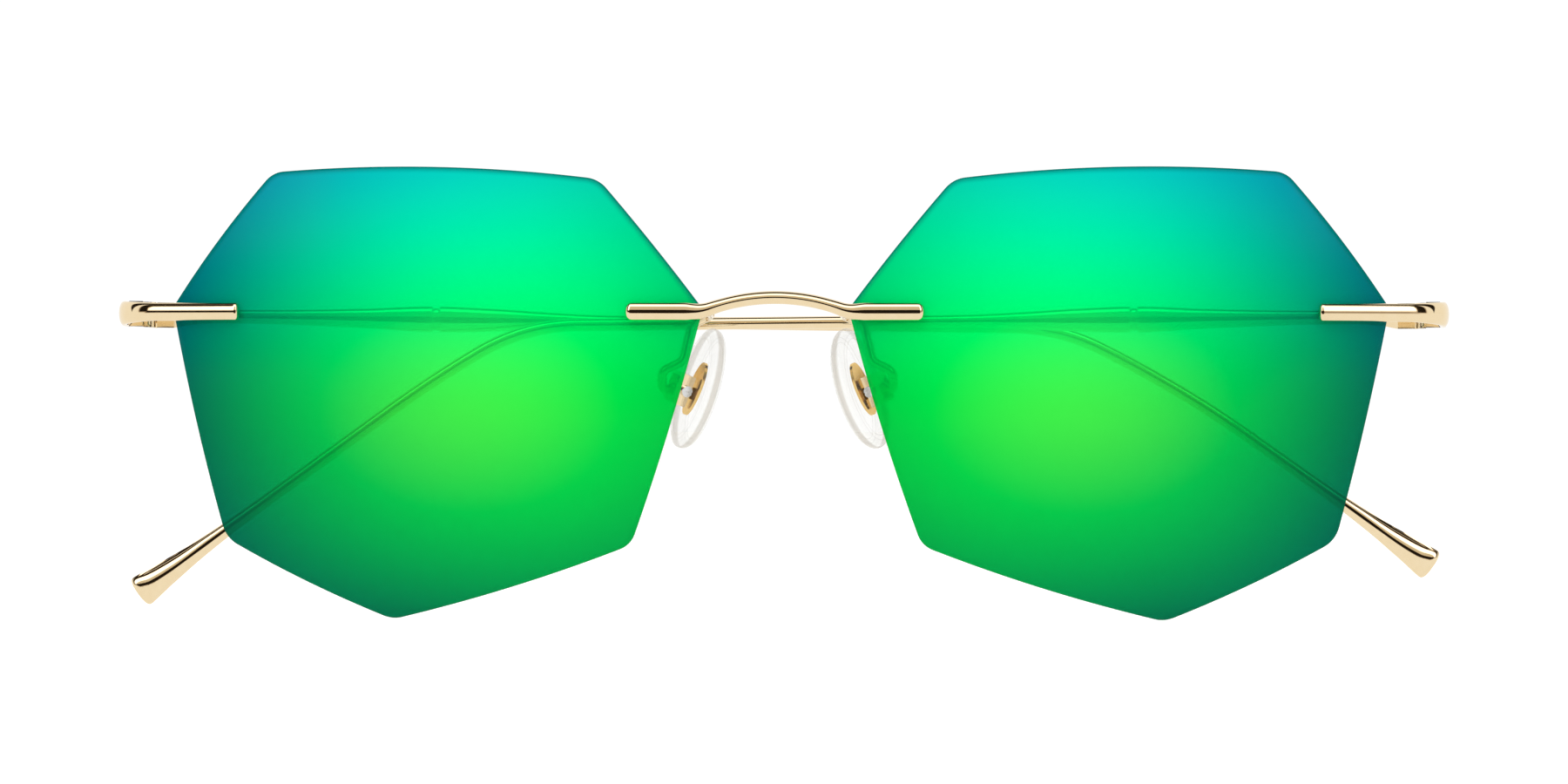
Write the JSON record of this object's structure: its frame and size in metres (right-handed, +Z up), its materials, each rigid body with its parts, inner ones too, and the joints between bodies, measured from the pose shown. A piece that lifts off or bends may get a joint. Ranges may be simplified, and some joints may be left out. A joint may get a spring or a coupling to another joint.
{
  "type": "rimless sunglasses",
  "caption": "Rimless folding sunglasses with seven-sided mirror lenses, slim gold bridge, end pieces and wire temples, and clear adjustable nose pads.",
  "frame": {"origin": "the nose saddle: on the mid-plane, midway between the two nose pads and about level with their middles", "axes": "+X to the wearer's left, +Y from the lenses to the wearer's face, +Z up"},
  "size_m": [0.144, 0.0249, 0.0485],
  "materials": {
    "mirror_lens": "green mirror coating on tinted polycarbonate, yellow-green at the middle to teal at the rim",
    "gold": "polished pale gold plating",
    "gold_insert": "bright gold plating",
    "clear_pad": "clear soft vinyl, glossy",
    "clear_sleeve": "clear nylon",
    "steel_screw": "polished steel",
    "nylon": "natural nylon"
  },
  "bodies": {
    "front_frame": {"bridge_bar": "gold", "lens_left": "mirror_lens", "bridge_sleeve_left": "clear_sleeve", "endpiece_sleeve_left": "clear_sleeve", "endpiece_left": "gold", "hinge_front_leaf_left": "gold", "hinge_screw_left": "steel_screw", "hinge_washers_left": "nylon", "pad_arm_left": "gold", "pad_box_left": "gold", "pad_screw_left": "steel_screw", "lens_right": "mirror_lens", "bridge_sleeve_right": "clear_sleeve", "endpiece_sleeve_right": "clear_sleeve", "endpiece_right": "gold", "hinge_front_leaf_right": "gold", "hinge_screw_right": "steel_screw", "hinge_washers_right": "nylon", "pad_arm_right": "gold", "pad_box_right": "gold", "pad_screw_right": "steel_screw"},
    "temple_left": {"hinge_temple_leaf_left": "gold", "temple_front_left": "gold", "temple_collar_left": "gold", "temple_rear_left": "gold"},
    "nose_pad_left": {"nose_pad_left": "clear_pad", "pad_insert_left": "gold_insert"},
    "temple_right": {"hinge_temple_leaf_right": "gold", "temple_front_right": "gold", "temple_collar_right": "gold", "temple_rear_right": "gold"},
    "nose_pad_right": {"nose_pad_right": "clear_pad", "pad_insert_right": "gold_insert"}
  },
  "joints": [
    {"name": "temple_left_fold", "type": "hinge", "parent": "front_frame", "child": "temple_left", "pos_m": [0.06955, 0.007, 0.00776], "axis": [0.0108, -0.0279, -0.9996], "range_deg": [0, 90]},
    {"name": "temple_right_fold", "type": "hinge", "parent": "front_frame", "child": "temple_right", "pos_m": [-0.06955, 0.007, 0.00776], "axis": [0.0108, 0.0279, 0.9996], "range_deg": [0, 87]},
    {"name": "nose_pad_left_rock", "type": "hinge", "parent": "front_frame", "child": "nose_pad_left", "pos_m": [0.0104, -0.0009, -0.00031], "axis": [0.4636, 0.866, 0.1873], "range_deg": [-6, 6]},
    {"name": "nose_pad_right_rock", "type": "hinge", "parent": "front_frame", "child": "nose_pad_right", "pos_m": [-0.0104, -0.0009, -0.00031], "axis": [-0.4636, 0.866, 0.1873], "range_deg": [-6, 6]}
  ]
}
